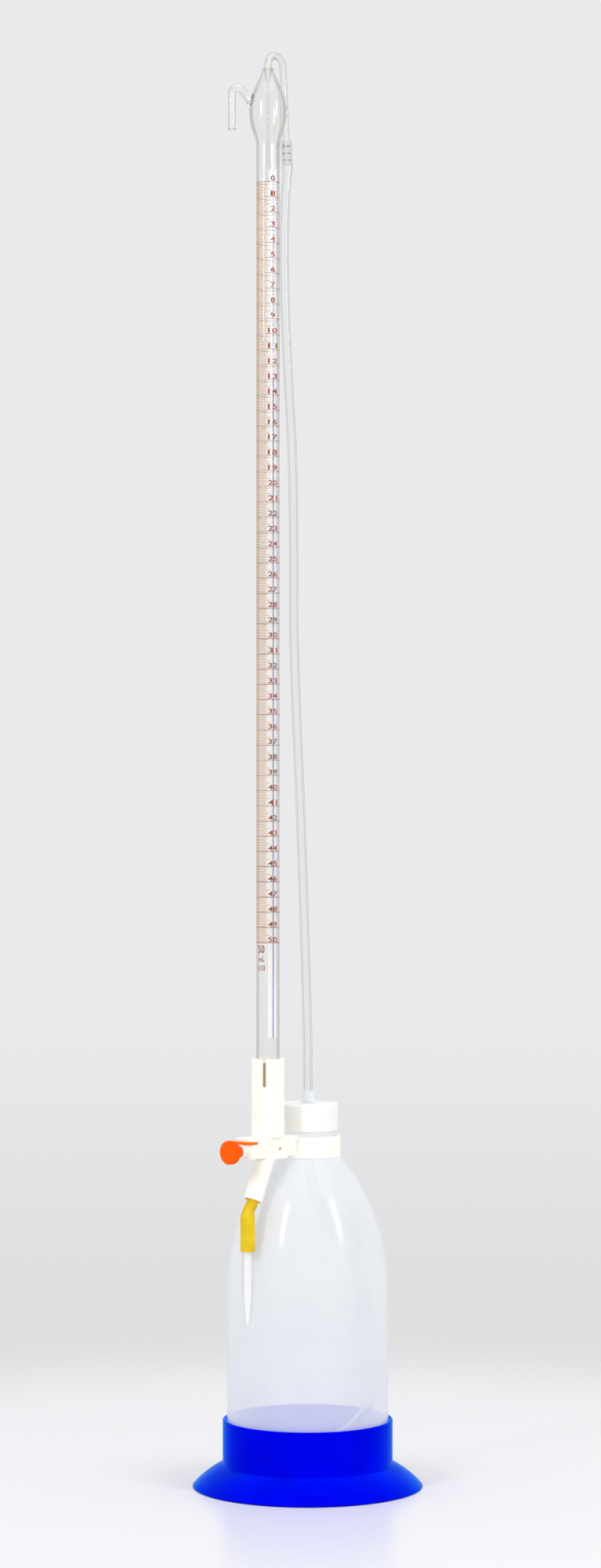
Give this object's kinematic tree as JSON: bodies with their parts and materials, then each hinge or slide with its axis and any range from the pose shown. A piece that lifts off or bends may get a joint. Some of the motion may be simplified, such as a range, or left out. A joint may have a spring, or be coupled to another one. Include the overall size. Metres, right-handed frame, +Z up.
{
  "type": "automatic burette",
  "caption": "Squeeze-bottle automatic burette: a graduated glass tube with overflow bulb on a swivelling arm, with a pinch valve, fine screw and drawn glass tip.",
  "frame": {"origin": "on the bottle's axis, at the floor under the foot", "axes": "+Z up along the bottle and the glass, -Y along the arm towards the knob, +X to the knob's right"},
  "size_m": [0.1378, 0.1378, 0.8544],
  "materials": {
    "foot_ring": "glossy blue plastic",
    "bottle": "translucent milky plastic",
    "screw_cap": "milky plastic",
    "cap_liner": "plain",
    "hose_nipple": "bluish translucent plastic",
    "hose_seal": "plain",
    "riser_hose": "clear hose",
    "burette_tube": "clear glass with a printed scale",
    "fill_tube": "clear glass",
    "vent_hook": "clear glass",
    "burette_sleeve": "tan rubber",
    "burette_holder": "ivory plastic",
    "valve_housing": "ivory plastic",
    "outlet_spout": "ivory plastic",
    "pinch_slide": "orange plastic",
    "pinch_pin": "bright",
    "return_spring": "bright",
    "fine_screw": "bright",
    "fine_knob": "orange plastic",
    "thrust_washer": "plain",
    "valve_hose": "yellow latex",
    "dispensing_tip": "clear glass"
  },
  "bodies": {
    "base": {"foot_ring": "foot_ring", "bottle": "bottle"},
    "cap_carrier": {"hose_nipple": "hose_nipple", "hose_seal": "hose_seal"},
    "cap": {"screw_cap": "screw_cap", "cap_liner": "cap_liner"},
    "arm": {"valve_housing": "valve_housing", "burette_holder": "burette_holder", "burette_sleeve": "burette_sleeve", "burette_tube": "burette_tube", "fill_tube": "fill_tube", "vent_hook": "vent_hook", "riser_hose": "riser_hose", "outlet_spout": "outlet_spout", "valve_hose": "valve_hose", "dispensing_tip": "dispensing_tip", "return_spring": "return_spring"},
    "button": {"thrust_washer": "thrust_washer"},
    "knob": {"fine_screw": "fine_screw", "fine_knob": "fine_knob"},
    "slider": {"pinch_slide": "pinch_slide", "pinch_pin": "pinch_pin"}
  },
  "joints": [
    {"name": "arm_swivel", "type": "hinge", "parent": "base", "child": "arm", "pos_m": [0, 0, 0.2], "axis": [0, 0, 1], "range_deg": [-90, 90]},
    {"name": "cap_lift", "type": "slide", "parent": "base", "child": "cap_carrier", "axis": [0, 0, 1], "range_m": [0, 0.006]},
    {"name": "cap_turn", "type": "hinge", "parent": "cap_carrier", "child": "cap", "pos_m": [0, 0, 0.22], "axis": [0, 0, 1], "range_deg": [0, 540]},
    {"name": "button_press", "type": "slide", "parent": "arm", "child": "button", "axis": [0, 1, 0], "range_m": [0, 0.0022], "stiffness_N_per_m": 800, "springref_m": -0.002, "deforming": ["return_spring"]},
    {"name": "knob_turn", "type": "hinge", "parent": "button", "child": "knob", "pos_m": [0, -0.06, 0.2039], "axis": [0, -1, 0], "range_deg": [0, 432]},
    {"name": "fine_feed", "type": "slide", "parent": "button", "child": "slider", "axis": [0, 1, 0], "range_m": [0, 0.0006]}
  ],
  "couplings": [
    {"joint": "cap_turn", "follows": "cap_lift", "rad_per_m": 1570.8},
    {"joint": "knob_turn", "follows": "fine_feed", "rad_per_m": 12566}
  ]
}
